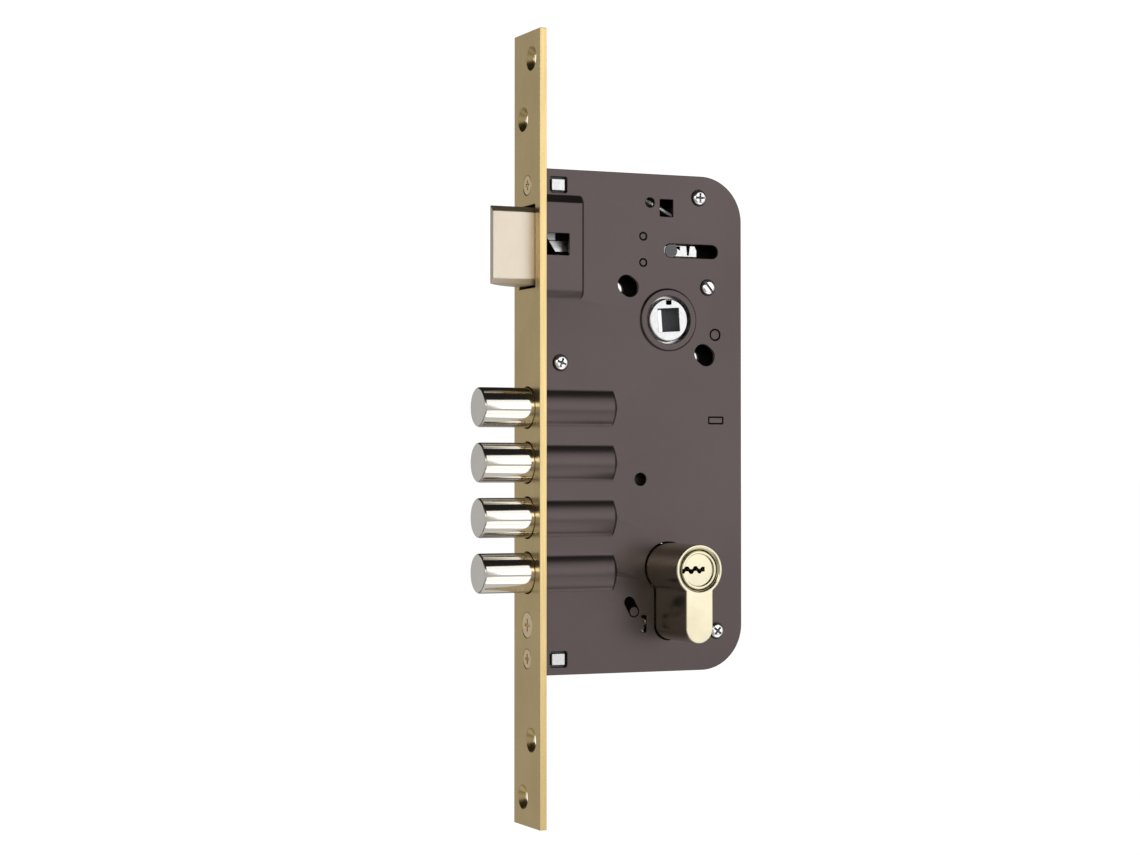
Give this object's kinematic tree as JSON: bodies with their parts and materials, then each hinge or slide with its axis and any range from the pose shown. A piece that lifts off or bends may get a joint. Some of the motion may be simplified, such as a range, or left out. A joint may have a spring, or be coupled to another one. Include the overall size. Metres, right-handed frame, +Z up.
{
  "type": "mortise lock",
  "caption": "Mortise lock with a long flat faceplate, a bevelled sprung latch, round deadbolts, a square follower and a double euro-profile cylinder.",
  "frame": {"origin": "on the faceplate's front face, on its centreline, at the height of the follower's axis", "axes": "+X goes into the door, away from the faceplate; +Z is up; -Y is the side with the removable cover"},
  "size_m": [0.0964, 0.06, 0.268],
  "materials": {
    "faceplate_brass": "satin",
    "case_paint": "satin",
    "bolt_nickel": "polished",
    "latch_nickel": "satin",
    "zinc_steel": "satin",
    "dark_steel": "satin",
    "cylinder_brass": "machined"
  },
  "bodies": {
    "lock_case": {"faceplate": "faceplate_brass", "case_cover": "case_paint", "case_tray": "case_paint", "screw_lug_upper": "zinc_steel", "screw_lug_lower": "zinc_steel", "faceplate_screw_upper": "faceplate_brass", "faceplate_screw_lower": "faceplate_brass", "cover_screw_top": "zinc_steel", "cover_screw_front": "zinc_steel", "cover_screw_bottom": "zinc_steel", "cover_screw_slotted": "zinc_steel", "pillar_top": "dark_steel", "pillar_front": "dark_steel", "pillar_bottom": "dark_steel", "pillar_slotted": "dark_steel", "latch_guide": "dark_steel", "spring_pin": "case_paint", "stop_pin": "case_paint", "bolt_guide_pin": "dark_steel", "spring_post": "dark_steel", "detainer_pin": "dark_steel", "guide_lug": "case_paint", "guide_rivet_upper": "case_paint", "guide_rivet_lower": "case_paint", "latch_spring": "zinc_steel", "handle_spring": "zinc_steel", "detainer_spring": "zinc_steel", "cylinder_body": "cylinder_brass", "cylinder_screw": "faceplate_brass"},
    "latch": {"latch_head": "latch_nickel", "latch_tail": "zinc_steel", "tail_pin": "dark_steel"},
    "follower": {"follower_hub": "zinc_steel"},
    "bolts": {"bolt_plate": "dark_steel", "bolt_1": "bolt_nickel", "bolt_2": "bolt_nickel", "bolt_3": "bolt_nickel", "bolt_4": "bolt_nickel"},
    "key_core": {"plug_outer": "cylinder_brass", "plug_inner": "cylinder_brass", "cylinder_cam": "dark_steel", "plug_clip_outer": "dark_steel", "plug_clip_inner": "dark_steel"},
    "detaining_lever": {"detainer": "dark_steel"}
  },
  "joints": [
    {"name": "latch_slide", "type": "slide", "parent": "lock_case", "child": "latch", "axis": [1, 0, 0], "range_m": [0, 0.015], "stiffness_N_per_m": 250, "springref_m": -0.02, "deforming": ["latch_spring"]},
    {"name": "follower_turn", "type": "hinge", "parent": "lock_case", "child": "follower", "pos_m": [0.05, 0, 0], "axis": [0, 1, 0], "range_deg": [0, 38.2], "deforming": ["handle_spring"]},
    {"name": "key_turn", "type": "hinge", "parent": "lock_case", "child": "key_core", "pos_m": [0.05, 0, -0.085], "axis": [0, 1, 0], "range_deg": [0, 720]},
    {"name": "bolts_slide", "type": "slide", "parent": "lock_case", "child": "bolts", "axis": [1, 0, 0], "range_m": [0, 0.018]},
    {"name": "detainer_turn", "type": "hinge", "parent": "lock_case", "child": "detaining_lever", "pos_m": [0.071, 0, -0.05], "axis": [0, 1, 0], "range_deg": [0, 5], "stiffness_Nm_per_rad": 0.05, "springref_deg": -17.19, "deforming": ["detainer_spring"]}
  ],
  "couplings": [
    {"joint": "follower_turn", "follows": "latch_slide", "rad_per_m": 44.2},
    {"joint": "key_turn", "follows": "bolts_slide", "rad_per_m": 698.13}
  ]
}
